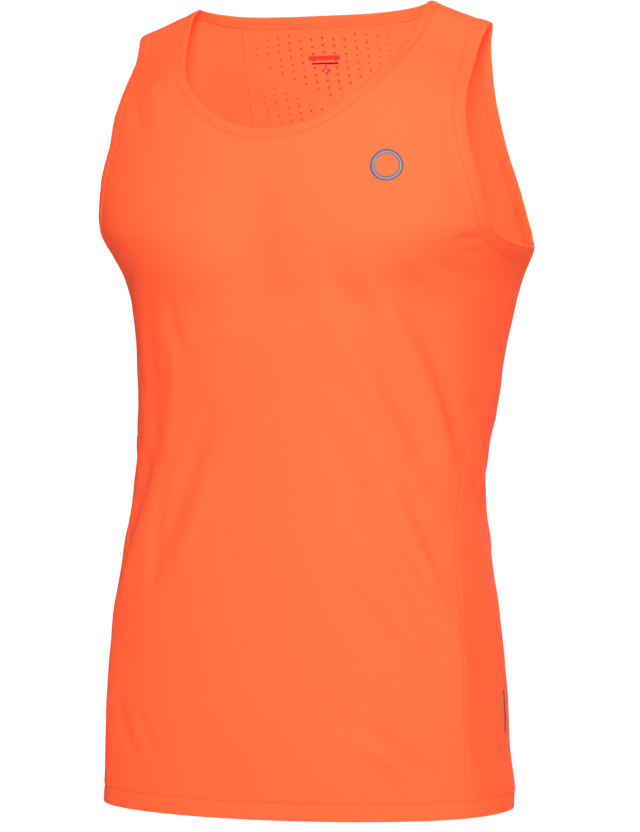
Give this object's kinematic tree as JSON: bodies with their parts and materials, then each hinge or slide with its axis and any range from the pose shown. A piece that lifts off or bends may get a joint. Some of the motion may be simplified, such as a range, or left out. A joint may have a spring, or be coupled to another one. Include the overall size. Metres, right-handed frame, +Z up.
{
  "type": "running singlet",
  "caption": "Sleeveless running singlet in light perforated knit, filled out as if worn, with a bound scoop neck, bound armholes and a turned-up hem; neck, armholes and hem are open.",
  "frame": {"origin": "where the wearer's shoulders hold the singlet up: the middle between the two shoulder lines, on the centre plane, at the height of the shoulder lines' inner ends", "axes": "+Z up along the body, the chest faces -Y, +X towards the wearer's left"},
  "size_m": [0.3766, 0.246, 0.7115],
  "materials": {
    "knit": "smooth matt polyester knit, neon orange",
    "binding": "folded knit binding, neon orange",
    "film": "satin grey heat-pressed film"
  },
  "bodies": {
    "root": {"front_panel": "knit", "back_panel_left": "knit", "back_panel_right": "knit", "back_panel_centre": "knit", "hem_turn_up": "knit", "neck_band": "binding", "armhole_band_left": "binding", "armhole_band_right": "binding", "chest_badge": "film"}
  },
  "joints": []
}
